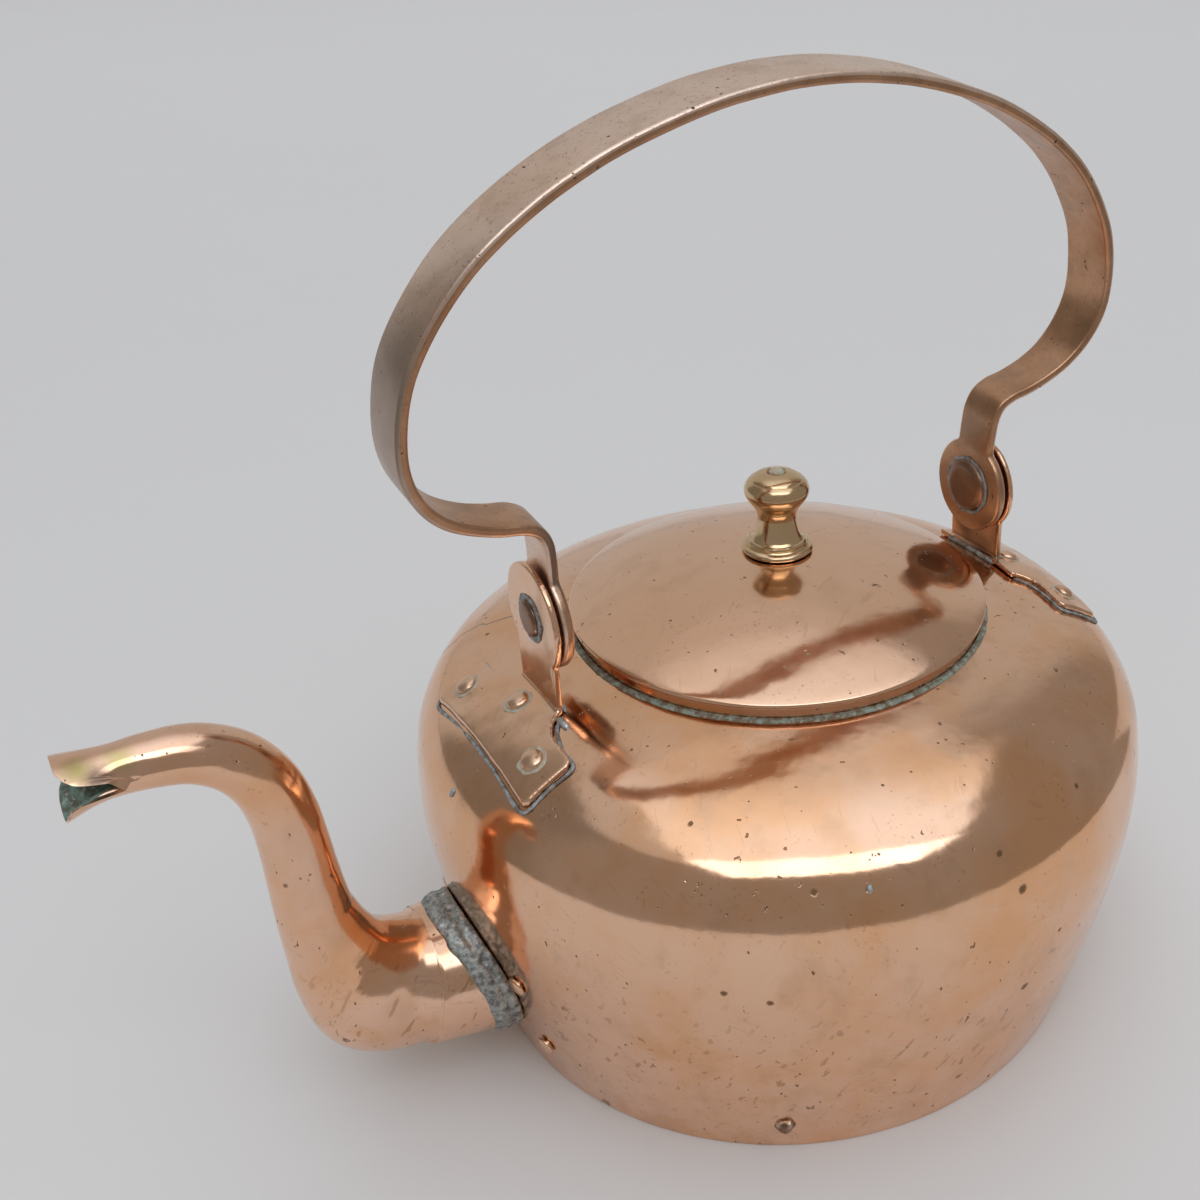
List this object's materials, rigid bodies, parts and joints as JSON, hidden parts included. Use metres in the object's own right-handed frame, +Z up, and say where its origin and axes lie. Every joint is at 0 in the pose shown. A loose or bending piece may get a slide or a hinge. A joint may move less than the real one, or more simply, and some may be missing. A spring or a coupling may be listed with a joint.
{
  "type": "copper kettle",
  "caption": "Round copper kettle with a gooseneck spout, a riveted swing bail handle, and a lift-off domed lid with a turned brass knob.",
  "frame": {"origin": "centre of the flat base where it rests on the hob", "axes": "+Z up along the body's axis; -X towards the spout; the bail swings about an axis along X"},
  "size_m": [0.3543, 0.2538, 0.3173],
  "materials": {
    "copper": "polished aged copper sheet, pinkish brown with fine pits and brown stains",
    "dark_copper": "heavier copper strap and rivets, darker and duller at the edges",
    "knob_brass": "turned brass, polished",
    "grey_solder": "rough wiped lead-tin solder, matt grey",
    "green_solder": "thin solder bead with green corrosion"
  },
  "bodies": {
    "kettle_body": {"body_shell": "copper", "bottom_plate": "copper", "bottom_seam_ring": "grey_solder", "left_bracket": "copper", "left_bracket_rivet_1": "copper", "left_bracket_rivet_2": "copper", "left_bracket_rivet_3": "copper", "left_pivot_rivet": "dark_copper", "left_pivot_washer": "grey_solder", "neck_collar": "copper", "neck_solder_bead": "green_solder", "right_bracket": "copper", "right_bracket_rivet_1": "copper", "right_bracket_rivet_2": "copper", "right_bracket_rivet_3": "copper", "right_pivot_rivet": "dark_copper", "right_pivot_washer": "grey_solder", "spout_flange": "dark_copper", "spout_rivet_1": "copper", "spout_rivet_2": "copper", "spout_rivet_3": "copper", "spout_rivet_4": "copper", "spout_solder_band": "grey_solder", "spout_tube": "copper"},
    "lid": {"lid_dome": "copper", "lid_skirt": "copper", "lid_knob": "knob_brass", "knob_rivet": "knob_brass", "knob_washer": "copper"},
    "bail": {"bail_handle": "dark_copper"}
  },
  "joints": [
    {"name": "bail_swing", "type": "hinge", "parent": "kettle_body", "child": "bail", "pos_m": [0, 0, 0.1634], "axis": [1, 0, 0], "range_deg": [-119, 110]},
    {"name": "lid_lift", "type": "slide", "parent": "kettle_body", "child": "lid", "axis": [0, 0, 1], "range_m": [0, 0.1]}
  ]
}
